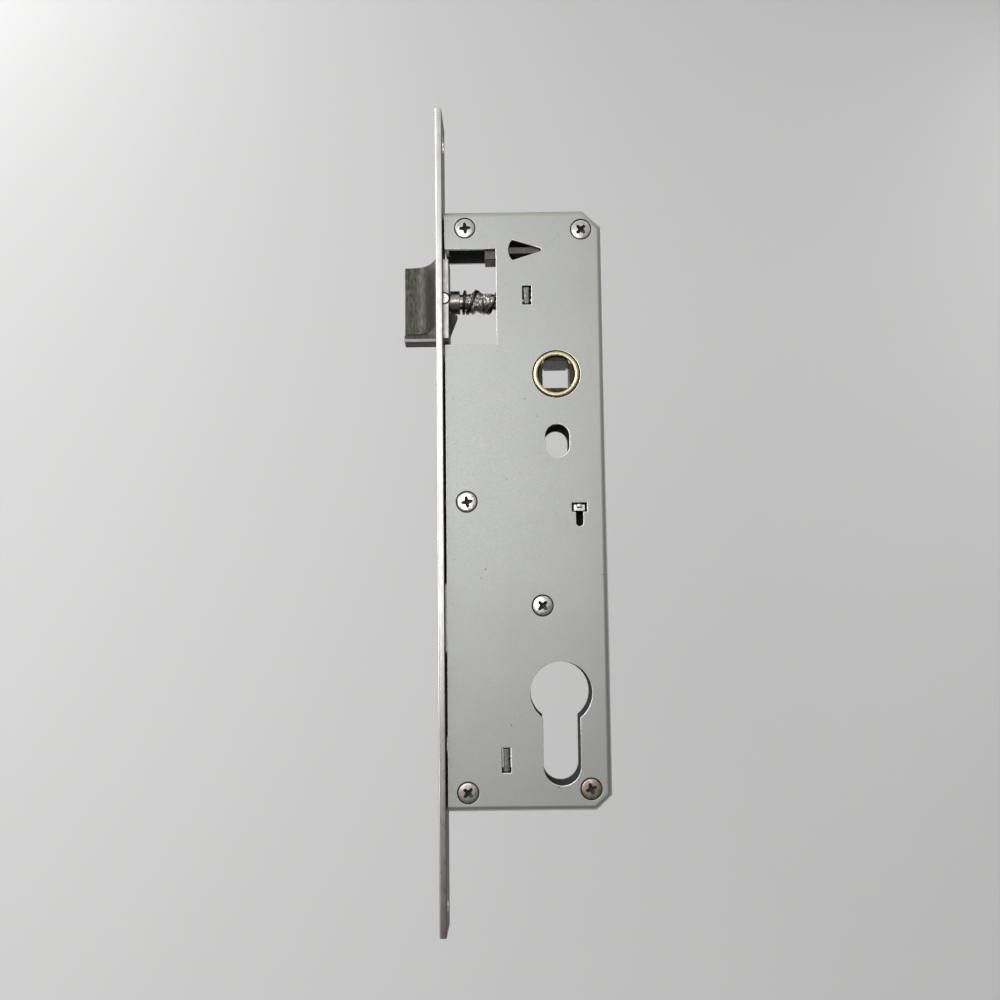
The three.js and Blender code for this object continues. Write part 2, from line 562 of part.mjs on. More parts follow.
function buildDeadbolt() {
  const { centre, height, halfThickness, length } = BOLT;
  const rivetX = (TAIL.left + length) / 2;
  let bolt = block(0, length, -halfThickness, halfThickness, centre - height / 2, centre + height / 2);
  const grooveHalf = TAIL.halfThickness + GAP;
  const grooveHeight = height / 2 + CLEAR;
  bolt = bolt.subtract(block(
    TAIL.left - GAP, length + CLEAR, -grooveHalf, grooveHalf, centre - grooveHeight, centre + grooveHeight));

  const slotRight = SCREW_PLACES[3][0] + BOLT.throw + TAIL_SLOT.halfHeight;
  const postZ = SCREW_PLACES[3][1];
  let tail = block(TAIL.left, TAIL.right, -TAIL.halfThickness, TAIL.halfThickness, TAIL.bottom, TAIL.top);
  tail = tail.add(block(
    TAIL.left, length, -TAIL.halfThickness, TAIL.halfThickness, centre - height / 2, TAIL.bottom + CLEAR));
  for (const [left, right] of TAIL_LUGS) {
    tail = tail.add(block(
      left, right, -TAIL.halfThickness, TAIL.halfThickness, TAIL.lugBottom, TAIL.bottom + CLEAR));
  }
  const slot = roundedSlot({
    x: (TAIL_SLOT.left + slotRight) / 2,
    z: postZ,
    width: slotRight - TAIL_SLOT.left,
    height: 2 * TAIL_SLOT.halfHeight,
  });
  tail = tail.subtract(slab(slot, -TAIL.halfThickness - CLEAR, TAIL.halfThickness + CLEAR));
  for (const x of [DETENT.nose, DETENT.nose + BOLT.throw]) {
    const notchZ = TAIL.top + DETENT.notchRadius - DETENT.noseDepth;
    tail = tail.subtract(barAlongY(
      x, notchZ, DETENT.notchRadius, -TAIL.halfThickness - CLEAR, TAIL.halfThickness + CLEAR));
  }
  TAIL_RIVETS.forEach((z, index) => {
    const hole = barAlongY(rivetX, z, RIVET.radius + GAP, -halfThickness - CLEAR, halfThickness + CLEAR);
    bolt = bolt.subtract(hole);
    tail = tail.subtract(hole);
    const rivet = barAlongY(rivetX, z, RIVET.radius, -halfThickness, halfThickness);
    addPiece(`deadbolt_rivet_${index + 1}`, rivet, BRIGHT_STEEL);
  });
  addPiece('deadbolt', bolt, STAINLESS);
  addPiece('deadbolt_tail', tail, BRIGHT_STEEL);
}

/** A leaf spring that hangs from a post and rests its folded nose in the tail's notch. */
function buildDetent() {
  const { nose, noseDepth, notchRadius, width, thickness } = DETENT;
  const { x, z, radius } = DETENT_POST;
  const noseZ = TAIL.top - noseDepth + GAP;
  const noseHalf = notchRadius * 0.3;
  const leafTop = z - radius - GAP;
  const leaf = polygon([
    [x - LEAF.rootLeft, leafTop],
    [x + LEAF.rootRight, leafTop],
    [nose, noseZ + thickness * 1.4],
    [nose + LEAF.tipX, noseZ + LEAF.tipZ],
    [nose + LEAF.tipX + thickness, noseZ + LEAF.tipZ - thickness / 2],
    [nose + noseHalf, noseZ],
    [nose - noseHalf, noseZ],
    [x + LEAF.rootRight - thickness / 2, leafTop - thickness],
    [x - LEAF.rootLeft, leafTop - thickness],
  ]);
  addPiece('detent_spring', slab(leaf, -width / 2, width / 2), SPRING_WIRE);
  addPiece('detent_post', barAlongY(x, z, radius, -REACH, REACH), BRIGHT_STEEL);
}

// ---------------------------------------------------------------------------------------------------
// Catch lever and the lower guide plate
// ---------------------------------------------------------------------------------------------------

function buildCatch() {
  const { pivotX, pivotZ, eyeRadius, halfHeight, thickness, left } = CATCH;
  const near = -REACH;
  const far = near + thickness;
  let lever = block(left, pivotX, near, far, pivotZ - halfHeight, pivotZ + halfHeight);
  lever = lever.add(barAlongY(pivotX, pivotZ, eyeRadius, near, far, MEDIUM_ROUND));
  const blockBottom = pivotZ - CATCH_BLOCK.drop;
  lever = lever.add(block(
    left, CATCH_BLOCK.right, near, CATCH_BLOCK.far, blockBottom, blockBottom + CATCH_BLOCK.height));
  lever = lever.subtract(barAlongY(pivotX, pivotZ, CATCH_PIN_RADIUS + GAP, near - CLEAR, far + CLEAR));
  addPiece('catch_lever', lever, DARK_STEEL);
  addPiece('catch_pin', barAlongY(pivotX, pivotZ, CATCH_PIN_RADIUS, -REACH, REACH), BRIGHT_STEEL);
  const springNear = far + GAP;
  const coil = ring(
    CATCH_PIN_RADIUS + GAP, CATCH_SPRING.outer, springNear, springNear + CATCH_SPRING.length, SMALL_ROUND);
  addPiece('catch_spring', solid(coil.translate(pivotX, 0, pivotZ)), SPRING_WIRE);
}

/** The plate with tabs in both lower slots, which steers the cylinder's fixing screw. */
function buildCylinderScrewGuide() {
  const left = LOWER_SLOT.x - SCREW_GUIDE.thickness / 2;
  const right = LOWER_SLOT.x + SCREW_GUIDE.thickness / 2;
  const tabHalf = LOWER_SLOT.height / 2 - GAP;
  const tabReach = CASE.halfDepth - GAP;
  let guide = block(left, right, -REACH, REACH, SCREW_GUIDE.bottom, SCREW_GUIDE.top);
  guide = guide.add(block(left, right, -tabReach, tabReach, LOWER_SLOT.z - tabHalf, LOWER_SLOT.z + tabHalf));
  guide = guide.subtract(barAlongX(
    0, CYLINDER_SCREW.z, left - CLEAR, CYLINDER_SCREW.radius, right + CLEAR));
  addPiece('cylinder_screw_guide', guide, BRIGHT_STEEL);
}

buildFaceplate();
buildCoverTray();
buildBasePlate();
buildFaceplateRivets();
buildPostsAndScrews();
buildLatchHead();
buildLatchTail();
buildLatchGuideAndSpring();
buildHub();
buildHubBushes();
buildReturnSlide();
buildDeadbolt();
buildDetent();
buildCatch();
buildCylinderScrewGuide();

export default lock;
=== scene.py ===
"""The looks of a narrow-stile mortise lock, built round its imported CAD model. Lengths are in metres."""

import json
import math

import bmesh
import bpy
from mathutils import Matrix, Vector, noise


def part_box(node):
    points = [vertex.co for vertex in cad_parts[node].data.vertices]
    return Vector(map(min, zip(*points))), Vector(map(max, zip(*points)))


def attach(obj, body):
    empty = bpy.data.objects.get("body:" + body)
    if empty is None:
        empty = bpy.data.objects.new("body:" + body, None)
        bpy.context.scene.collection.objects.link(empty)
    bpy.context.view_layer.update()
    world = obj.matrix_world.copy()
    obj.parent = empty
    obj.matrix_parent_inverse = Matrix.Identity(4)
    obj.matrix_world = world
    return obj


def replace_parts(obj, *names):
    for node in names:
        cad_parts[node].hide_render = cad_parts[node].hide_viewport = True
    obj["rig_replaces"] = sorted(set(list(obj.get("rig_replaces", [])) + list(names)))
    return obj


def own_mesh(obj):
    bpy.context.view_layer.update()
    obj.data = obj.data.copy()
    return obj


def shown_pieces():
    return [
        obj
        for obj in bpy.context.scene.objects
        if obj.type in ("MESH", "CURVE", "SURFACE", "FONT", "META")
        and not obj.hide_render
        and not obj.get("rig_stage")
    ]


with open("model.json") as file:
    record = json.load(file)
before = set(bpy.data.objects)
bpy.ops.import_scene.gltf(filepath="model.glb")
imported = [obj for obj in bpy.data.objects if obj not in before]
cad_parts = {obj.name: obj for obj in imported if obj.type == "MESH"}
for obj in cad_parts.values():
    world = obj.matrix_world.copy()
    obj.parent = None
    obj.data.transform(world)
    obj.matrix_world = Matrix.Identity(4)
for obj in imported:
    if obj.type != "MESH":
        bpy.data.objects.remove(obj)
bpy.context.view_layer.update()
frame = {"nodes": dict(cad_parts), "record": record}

MM = 0.001
RECORD = frame["record"]
SLOT_OF = {part["node"]: part["material_slot"] for part in RECORD["subparts"]}
BODY_OF = {node: body for body, nodes in RECORD["behaviour"]["bodies"].items() for node in nodes}


# ---------------------------------------------------------------------------------------------
# Camera, lights and stage
# ---------------------------------------------------------------------------------------------

CAMERA_PLACE = Vector((21.2, -376.2, -74.3)) * MM
CAMERA_PITCH = math.radians(5.82)
CAMERA_YAW = math.radians(0.47)
CAMERA_ROLL = math.radians(0.64)
CAMERA_LENS = 46.16
BACKDROP_DEPTH = 0.55
WORLD_BRIGHT_SIDE = (-0.35, 0, 0.9)
WORLD_DARK = 0.12
WORLD_BRIGHT = 0.62
WORLD_DARK_AT = -0.35
WORLD_BRIGHT_AT = 0.6


def make_camera():
    """A camera that looks along +Y from in front of the cover's screws, tipped slightly upwards."""
    data = bpy.data.cameras.new("camera")
    data.lens = CAMERA_LENS
    data.sensor_width = 36
    data.clip_start = 0.01
    data.clip_end = 20
    camera = bpy.data.objects.new("camera", data)
    bpy.context.scene.collection.objects.link(camera)
    turn = (
        Matrix.Rotation(CAMERA_YAW, 4, "Z")
        @ Matrix.Rotation(CAMERA_PITCH, 4, "X")
        @ Matrix.Rotation(CAMERA_ROLL, 4, "Y")
        @ Matrix.Rotation(math.pi / 2, 4, "X")
    )
    camera.matrix_world = Matrix.Translation(CAMERA_PLACE) @ turn
    bpy.context.scene.camera = camera


def area_light(name, place, target, size, power):
    """A square soft light at place that faces target."""
    data = bpy.data.lights.new(name, "AREA")
    data.size = size
    data.energy = power
    light = bpy.data.objects.new(name, data)
    bpy.context.scene.collection.objects.link(light)
    light.location = place
    light.visible_camera = False
    light.rotation_euler = (Vector(target) - Vector(place)).to_track_quat("-Z", "Y").to_euler()


def make_lights():
    """Soft lights above the camera, high on the left, on the backdrop, and behind for the other sides."""
    middle = (0.02, 0, -0.04)
    area_light("front_softbox", (-0.16, -0.95, 0.10), middle, size=0.38, power=1.35)
    area_light("left_softbox", (-0.65, -0.40, 0.45), middle, size=0.40, power=2.8)
    area_light("wall_softbox", (-0.85, -0.15, -0.06), (-0.15, BACKDROP_DEPTH, -0.02), size=0.4, power=2.4)
    area_light("rear_left_softbox", (-0.45, 0.4, 0.5), middle, size=0.4, power=1.2)
    area_light("rear_right_softbox", (0.6, 0.4, 0.2), middle, size=0.4, power=0.8)
    bpy.context.scene.view_settings.view_transform = "Standard"


def make_world():
    """Grey surroundings that are brightest above and to the left, and dark below."""
    world = bpy.data.worlds.new("studio")
    world.use_nodes = True
    nodes = world.node_tree.nodes
    links = world.node_tree.links
    place = nodes.new("ShaderNodeTexCoord")
    slope = nodes.new("ShaderNodeVectorMath")
    slope.operation = "DOT_PRODUCT"
    slope.inputs[1].default_value = WORLD_BRIGHT_SIDE
    brightness = nodes.new("ShaderNodeMapRange")
    brightness.inputs["From Min"].default_value = WORLD_DARK_AT
    brightness.inputs["From Max"].default_value = WORLD_BRIGHT_AT
    brightness.inputs["To Min"].default_value = WORLD_DARK
    brightness.inputs["To Max"].default_value = WORLD_BRIGHT
    links.new(place.outputs["Generated"], slope.inputs[0])
    links.new(slope.outputs["Value"], brightness.inputs["Value"])
    links.new(brightness.outputs["Result"], nodes["Background"].inputs["Strength"])
    nodes["Background"].inputs["Color"].default_value = (1, 1, 1, 1)
    bpy.context.scene.world = world


def make_stage():
    """A pale backdrop behind the lock, curved forward at its foot."""
    floor_height = -0.9
    floor_length = 0.3
    radius = 0.35
    half_width = 3.0
    wall_height = 2.2
    bend_steps = 16
    bend_start = BACKDROP_DEPTH - radius
    profile = [(bend_start - floor_length, floor_height), (bend_start, floor_height)]
    for step in range(1, bend_steps + 1):
        angle = math.pi / 2 * step / bend_steps
        profile.append((bend_start + radius * math.sin(angle), floor_height + radius * (1 - math.cos(angle))))
    profile.append((BACKDROP_DEPTH, wall_height))
    mesh = bpy.data.meshes.new("backdrop")
    vertices = [(x, y, z) for y, z in profile for x in (-half_width, half_width)]
    faces = [(2 * i, 2 * i + 1, 2 * i + 3, 2 * i + 2) for i in range(len(profile) - 1)]
    mesh.from_pydata(vertices, [], faces)
    for face in mesh.polygons:
        face.use_smooth = True
    backdrop = bpy.data.objects.new("backdrop", mesh)
    bpy.context.scene.collection.objects.link(backdrop)
    material, _, _, shader = new_material("pale_backdrop")
    shader.inputs["Roughness"].default_value = 0.9
    shader.inputs["Base Color"].default_value = (0.78, 0.78, 0.775, 1)
    mesh.materials.append(material)
    backdrop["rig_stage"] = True


# ---------------------------------------------------------------------------------------------
# Materials
# ---------------------------------------------------------------------------------------------


def new_material(name):
    """A new node material with its nodes, its links and its shader."""
    material = bpy.data.materials.new(name)
    material.use_nodes = True
    nodes = material.node_tree.nodes
    return material, nodes, material.node_tree.links, nodes["Principled BSDF"]


def object_noise(nodes, links, scale, detail=3.0, stretch=(1, 1, 1)):
    """Noise over the piece's own coordinates; scale is in features per metre."""
    place = nodes.new("ShaderNodeTexCoord")
    mapping = nodes.new("ShaderNodeMapping")
    mapping.inputs["Scale"].default_value = stretch
    texture = nodes.new("ShaderNodeTexNoise")
    texture.inputs["Scale"].default_value = scale
    texture.inputs["Detail"].default_value = detail
    texture.inputs["Roughness"].default_value = 0.55
    links.new(place.outputs["Object"], mapping.inputs["Vector"])
    links.new(mapping.outputs["Vector"], texture.inputs["Vector"])
    return texture.outputs["Fac"]


def object_place(nodes, links, axis, start, end):
    """0 at start and 1 at end along one of the piece's own axes, in metres."""
    place = nodes.new("ShaderNodeTexCoord")
    split = nodes.new("ShaderNodeSeparateXYZ")
    along = nodes.new("ShaderNodeMapRange")
    along.inputs["From Min"].default_value = start
    along.inputs["From Max"].default_value = end
    links.new(place.outputs["Object"], split.inputs["Vector"])
    links.new(split.outputs[axis], along.inputs["Value"])
    return along.outputs["Result"]


def ramp(nodes, links, value, stops):
    """A colour ramp on value; stops are (position, colour) pairs, colours as one grey or an RGB triple."""
    node = nodes.new("ShaderNodeValToRGB")
    elements = node.color_ramp.elements
    while len(elements) < len(stops):
        elements.new(0.5)
    for element, (position, colour) in zip(elements, stops):
        element.position = position
        rgb = (colour,) * 3 if isinstance(colour, (int, float)) else colour
        element.color = (*rgb, 1)
    links.new(value, node.inputs["Fac"])
    return node.outputs["Color"]


def multiply(nodes, links, first, second):
    """The two colours multiplied."""
    node = nodes.new("ShaderNodeMix")
    node.data_type = "RGBA"
    node.blend_type = "MULTIPLY"
    node.inputs["Factor"].default_value = 1.0
    links.new(first, node.inputs["A"])
    links.new(second, node.inputs["B"])
    return node.outputs["Result"]


def blend_by(nodes, links, mask, first, second):
    """first where mask is 0, second where it is 1."""
    node = nodes.new("ShaderNodeMix")
    node.data_type = "RGBA"
    links.new(mask, node.inputs["Factor"])
    links.new(first, node.inputs["A"])
    links.new(second, node.inputs["B"])
    return node.outputs["Result"]


def add_bump(nodes, links, shader, height, strength, distance):
    """Raises and sinks the surface by height, up to distance in metres."""
    bump = nodes.new("ShaderNodeBump")
    bump.inputs["Strength"].default_value = strength
    bump.inputs["Distance"].default_value = distance
    links.new(height, bump.inputs["Height"])
    links.new(bump.outputs["Normal"], shader.inputs["Normal"])


def varied(nodes, links, colour, scale, spread, stretch=(1, 1, 1), detail=3.0):
    """colour made up to spread lighter and darker by noise."""
    low = tuple(c * (1 - spread) for c in colour)
    high = tuple(min(1, c * (1 + spread)) for c in colour)
    return ramp(nodes, links, object_noise(nodes, links, scale, detail, stretch), [(0.3, low), (0.7, high)])


def zinc_sheet_material():
    """Zinc-plated sheet: satin, slightly green grey, with a fine mottled grain and faint clouds."""
    material, nodes, links, shader = new_material("zinc_sheet")
    grain = varied(nodes, links, (0.595, 0.605, 0.575), 3400, 0.07, detail=2)
    clouds = ramp(nodes, links, object_noise(nodes, links, 55), [(0.3, 0.95), (0.7, 1.0)])
    tinted = multiply(nodes, links, grain, clouds)
    specks = ramp(nodes, links, object_noise(nodes, links, 520, 1), [(0.20, 1.0), (0.235, 0.0)])
    dirt = ramp(nodes, links, object_noise(nodes, links, 300), [(0.0, 0.25), (1.0, 0.40)])
    links.new(blend_by(nodes, links, specks, tinted, dirt), shader.inputs["Base Color"])
    shader.inputs["Metallic"].default_value = 0.9
    rough = ramp(nodes, links, object_noise(nodes, links, 1600), [(0.3, 0.43), (0.7, 0.49)])
    links.new(rough, shader.inputs["Roughness"])
    add_bump(nodes, links, shader, object_noise(nodes, links, 2200, 2), 0.25, 0.03 * MM)
    return material


def stainless_material():
    """Stainless strip brushed along its length, darkened towards its foot by painted shade."""
    material, nodes, links, shader = new_material("stainless")
    streaks = varied(nodes, links, (0.74, 0.725, 0.70), 3500, 0.10, stretch=(1, 1, 0.03))
    stains = ramp(nodes, links, object_noise(nodes, links, 90), [(0.3, 0.88), (0.65, 1.0)])
    # Painted shade: the colour darkens towards the foot, standing in for the dimmer reflection there.
    up_from_foot = object_place(nodes, links, "Z", -160 * MM, -70 * MM)
    painted_shade_at_foot = ramp(nodes, links, up_from_foot, [(0.0, (0.50, 0.47, 0.44)), (1.0, 1.0)])
    clean = multiply(nodes, links, streaks, stains)
    links.new(multiply(nodes, links, clean, painted_shade_at_foot), shader.inputs["Base Color"])
    shader.inputs["Metallic"].default_value = 1.0
    rough = ramp(nodes, links, object_noise(nodes, links, 500), [(0.3, 0.26), (0.7, 0.38)])
    links.new(rough, shader.inputs["Roughness"])
    add_bump(nodes, links, shader, object_noise(nodes, links, 5000, 2, (1, 1, 0.03)), 0.25, 0.03 * MM)
    return material


def cast_latch_material():
    """Die-cast latch: dark brownish grey, finely pitted, lighter near the faceplate from rub wear and painted
    light.
    """
    material, nodes, links, shader = new_material("cast_latch")
    body = varied(nodes, links, (0.085, 0.082, 0.072), 1700, 0.45, stretch=(1, 1, 0.3))
    worn_and_lit = varied(nodes, links, (0.15, 0.135, 0.11), 2200, 0.5)
    # Lighter towards the faceplate: rub wear, with painted light where the slope there faces the lamps.
    near_plate = object_place(nodes, links, "X", -4 * MM, 0.0)
    rubbed_and_lit = ramp(nodes, links, near_plate, [(0.0, 0.0), (1.0, 0.8)])
    outside = blend_by(nodes, links, rubbed_and_lit, body, worn_and_lit)
    milled = varied(nodes, links, (0.86, 0.83, 0.77), 900, 0.1)
    plate_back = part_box("faceplate")[1].x
    behind_plate = object_place(nodes, links, "X", plate_back - 0.1 * MM, plate_back + 0.1 * MM)
    links.new(blend_by(nodes, links, behind_plate, outside, milled), shader.inputs["Base Color"])
    shader.inputs["Metallic"].default_value = 1.0
    rough = ramp(nodes, links, object_noise(nodes, links, 800), [(0.3, 0.38), (0.7, 0.55)])
    links.new(rough, shader.inputs["Roughness"])
    add_bump(nodes, links, shader, object_noise(nodes, links, 1800, 4), 0.4, 0.08 * MM)
    return material


def latch_end_material():
    """The latch's lower end: a painted highlight band along the bevel, and a rough casting in painted shade
    behind it.
    """
    material, nodes, links, shader = new_material("latch_end")
    painted_highlight_band = varied(nodes, links, (0.75, 0.72, 0.66), 1800, 0.15)
    rough_cast_in_painted_shade = varied(nodes, links, (0.03, 0.026, 0.02), 2600, 0.8)
    # Painted light: a bright band where the end catches the light, and painted shade on the casting behind
    # it.
    depth = object_place(nodes, links, "Y", -6 * MM, 1 * MM)
    behind_band = ramp(nodes, links, depth, [(0.50, 0.0), (0.60, 1.0)])
    links.new(blend_by(nodes, links, behind_band, painted_highlight_band, rough_cast_in_painted_shade), shader.inputs["Base Color"])
    shader.inputs["Metallic"].default_value = 0.8
    shader.inputs["Roughness"].default_value = 0.55
    shader.inputs["Specular IOR Level"].default_value = 0.2
    add_bump(nodes, links, shader, object_noise(nodes, links, 2400, 4), 0.6, 0.12 * MM)
    return material


def plain_metal_material(name, colour, roughness, spread, metallic):
    """A metal with cloudy tint, uneven polish and a fine grain."""
    material, nodes, links, shader = new_material(name)
    links.new(varied(nodes, links, colour, 900, spread), shader.inputs["Base Color"])
    shader.inputs["Metallic"].default_value = metallic
    stops = [(0.3, roughness * 0.8), (0.7, roughness * 1.2)]
    links.new(ramp(nodes, links, object_noise(nodes, links, 600), stops), shader.inputs["Roughness"])
    add_bump(nodes, links, shader, object_noise(nodes, links, 3000, 3), 0.2, 0.04 * MM)
    return material


def grease_material():
    """Old grease: wet, lumpy and streaked dark and pale."""
    material, nodes, links, shader = new_material("grease")
    links.new(varied(nodes, links, (0.58, 0.56, 0.51), 700, 0.7), shader.inputs["Base Color"])
    shader.inputs["Metallic"].default_value = 0.8
    shader.inputs["Roughness"].default_value = 0.13
    add_bump(nodes, links, shader, object_noise(nodes, links, 1100, 4), 0.9, 0.4 * MM)
    return material


METALLIC = 1.0
DULL_METALLIC = 0.35


def make_materials():
    """Every finish by name; the plain metals are given as colour, roughness and spread of tint."""
    finishes = {
        "zinc_sheet": zinc_sheet_material(),
        "stainless": stainless_material(),
        "cast_latch": cast_latch_material(),
        "latch_end": latch_end_material(),
        "grease": grease_material(),
    }
    metals = {
        "brass_bush": ((0.80, 0.70, 0.46), 0.28, 0.12),
        "dark_steel": ((0.15, 0.14, 0.125), 0.42, 0.25),
        "bright_steel": ((0.72, 0.71, 0.68), 0.28, 0.08),
        "spring_wire": ((0.12, 0.12, 0.12), 0.25, 0.2),
        "bright_screw": ((0.80, 0.78, 0.74), 0.22, 0.12),
        "dull_screw": ((0.58, 0.54, 0.48), 0.30, 0.2),
        "brown_screw": ((0.50, 0.40, 0.33), 0.32, 0.25),
        "turned_steel": ((0.66, 0.63, 0.58), 0.22, 0.15),
        "collar_steel": ((0.46, 0.42, 0.36), 0.30, 0.3),
        # Bright bare steel for cut edges and the lug; its colour also paints their highlight.
        "bare_steel_and_highlight": ((0.88, 0.88, 0.86), 0.30, 0.08),
        "dull_steel": ((0.27, 0.26, 0.24), 0.40, 0.25),
    }
    # Dark finishes; all but the hub's iron are painted shade for insides, holes, recesses and parts in the
    # dark.
    dull_metals = {
        "hub_iron": ((0.045, 0.04, 0.028), 0.45, 0.6),
        "shaded_inner_zinc": ((0.13, 0.135, 0.135), 0.60, 0.15),
        "shaded_steel": ((0.085, 0.083, 0.075), 0.55, 0.25),
        "recess": ((0.10, 0.095, 0.085), 0.30, 0.5),
        "painted_hole_shade": ((0.025, 0.024, 0.022), 0.55, 0.5),
    }
    for name, (colour, roughness, spread) in metals.items():
        finishes[name] = plain_metal_material(name, colour, roughness, spread, METALLIC)
    for name, (colour, roughness, spread) in dull_metals.items():
        finishes[name] = plain_metal_material(name, colour, roughness, spread, DULL_METALLIC)
    return finishes


MATERIALS = make_materials()


# ---------------------------------------------------------------------------------------------
# Mesh helpers
# ---------------------------------------------------------------------------------------------

SMOOTH_ANGLE = math.radians(34)
LARGE_FACE = 60 * MM ** 2
EDGE_SEGMENTS = 2
EDGE_PROFILE = 0.6


def add_piece(name, bm, material, body, replaced=()):
    """Turns a bmesh into a piece that rides on a body and stands for some CAD nodes."""
    bmesh.ops.recalc_face_normals(bm, faces=bm.faces)
    for face in bm.faces:
        face.smooth = True
    mesh = bpy.data.meshes.new(name)
    bm.to_mesh(mesh)
    bm.free()
    mesh.set_sharp_from_angle(angle=SMOOTH_ANGLE)
    mesh.materials.append(material)
    piece = bpy.data.objects.new(name, mesh)
    bpy.context.scene.collection.objects.link(piece)
    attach(piece, body)
    if replaced:
        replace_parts(piece, *replaced)
    return piece


def node_middle(node):
    """The middle of a CAD node's box."""
    low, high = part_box(node)
    return (low + high) / 2


def paint(piece, finish, wanted):
    """Gives a second finish to the faces whose centre and normal are the wanted ones."""
    piece.data.materials.append(MATERIALS[finish])
    last = len(piece.data.materials) - 1
    for face in piece.data.polygons:
        if wanted(face.center, face.normal):
            face.material_index = last


def weight_normals(piece):
    """Shades the large flat faces flat, with the change of direction left to the rounded edges."""
    weighted = piece.modifiers.new("weighted_normals", "WEIGHTED_NORMAL")
    weighted.keep_sharp = True


def cad_bmesh(node):
    """The CAD node's mesh with its flat faces whole again."""
    bm = bmesh.new()
    bm.from_mesh(frame["nodes"][node].data)
    make_faces_whole(bm, same_place=0.002 * MM, same_plane=math.radians(1.5))
    return bm


def make_faces_whole(bm, same_place, same_plane):
    """Merges points that share a place and faces that share a plane."""
    bmesh.ops.remove_doubles(bm, verts=bm.verts, dist=same_place)
    bmesh.ops.dissolve_limit(bm, angle_limit=same_plane, verts=bm.verts, edges=bm.edges)


def flatten_large_faces(bm):
    """Moves the corners of each large face exactly onto its plane."""
    bm.normal_update()
    for face in bm.faces:
        if face.calc_area() < LARGE_FACE:
            continue
        heights = sorted(vertex.co.dot(face.normal) for vertex in face.verts)
        level = heights[len(heights) // 2]
        for vertex in face.verts:
            vertex.co += face.normal * (level - vertex.co.dot(face.normal))


def soften_edges(bm, width):
    """Rounds every edge that turns by more than the smoothing angle."""
    sharp = [edge for edge in bm.edges if edge.is_manifold and edge.calc_face_angle(0) > SMOOTH_ANGLE]
    bmesh.ops.bevel(
        bm, geom=sharp, offset=width, segments=EDGE_SEGMENTS, profile=EDGE_PROFILE, affect="EDGES",
        clamp_overlap=False)
    flatten_large_faces(bm)


def stand_in(node, bm, finish=None):
    """A piece that stands for one CAD node, in a finish of its own or its slot's."""
    material = MATERIALS[finish or SLOT_OF[node]]
    return add_piece(node + "_piece", bm, material, BODY_OF[node], [node])


def turn_from_z(axis):
    """The rotation that takes +Z to an axis."""
    return Vector((0, 0, 1)).rotation_difference(Vector(axis)).to_matrix()


def lathe(profile, place, axis, segments):
    """Turns a profile of (along, radius) points about an axis through place; ends at radius 0 are closed."""
    turn = turn_from_z(axis)
    bm = bmesh.new()
    rings = []
    for along, radius in profile:
        if radius == 0:
            rings.append([bm.verts.new(Vector(place) + turn @ Vector((0, 0, along)))])
            continue
        ring = []
        for step in range(segments):
            angle = math.tau * step / segments
            point = Vector((radius * math.cos(angle), radius * math.sin(angle), along))
            ring.append(bm.verts.new(Vector(place) + turn @ point))
        rings.append(ring)
    for first, second in zip(rings, rings[1:]):
        join_rings(bm, first, second)
    if len(rings[0]) > 1:
        join_rings(bm, rings[-1], rings[0])
    return bm


def join_rings(bm, first, second):
    """Faces between two rings of vertices, either of which may be a single point."""
    count = max(len(first), len(second))
    for step in range(count):
        following = (step + 1) % count
        corners = [first[step % len(first)], second[step % len(second)]]
        if len(second) > 1:
            corners.append(second[following])
        if len(first) > 1:
            corners.append(first[following])
        bm.faces.new(corners)


def close_tube(bm, rings):
    """Faces between each ring and the next, and over both ends."""
    for first, second in zip(rings, rings[1:]):
        join_rings(bm, first, second)
    bm.faces.new(rings[0])
    bm.faces.new(rings[-1])


def rounded_ring(inner, outer, near, far, edge):
    """The profile of a ring whose four edges are rounded, as (along, radius) points."""
    steps = 4
    corners = [
        (near + edge, inner + edge, math.pi, math.pi * 1.5),
        (near + edge, outer - edge, math.pi * 0.5, math.pi),
        (far - edge, outer - edge, 0, math.pi * 0.5),
        (far - edge, inner + edge, -math.pi * 0.5, 0),
    ]
    profile = []
    for along, radius, start, end in corners:
        for step in range(steps + 1):
            angle = end + (start - end) * step / steps
            profile.append((along + edge * math.cos(angle), radius + edge * math.sin(angle)))
    return profile


def tube_along(points, radius):
    """A closed round tube along a chain of points."""
    sides = 12
    bm = bmesh.new()
    rings = []
    side = None
    for index, point in enumerate(points):
        before = points[max(index - 1, 0)]
        after = points[min(index + 1, len(points) - 1)]
        ahead = (after - before).normalized()
        side = ahead.orthogonal() if side is None else side - ahead * side.dot(ahead)
        side.normalize()
        up = ahead.cross(side)
        ring = []
        for step in range(sides):
            angle = math.tau * step / sides
            ring.append(bm.verts.new(point + radius * (math.cos(angle) * side + math.sin(angle) * up)))
        rings.append(ring)
    close_tube(bm, rings)
    return bm


def coil_points(start, end, wire, closed_turns, open_turns):
    """(along, angle) pairs of a compression spring: closed turns at each end, open turns between."""
    steps_a_turn = 28
    ease = 0.35
    closed_pitch = wire * 1.06
    open_pitch = (end - start - wire - 2 * closed_turns * closed_pitch) / open_turns
    total = 2 * closed_turns + open_turns
    count = int(total * steps_a_turn)
    along = start + wire / 2
    points = []
    for step in range(count + 1):
        turn = total * step / count
        points.append((along, -math.tau * turn))
        into = min(max((turn - closed_turns) / ease + 0.5, 0), 1)
        out = min(max((total - closed_turns - turn) / ease + 0.5, 0), 1)
        pitch = closed_pitch + (open_pitch - closed_pitch) * min(into, out)
        along += pitch * total / count
    return points


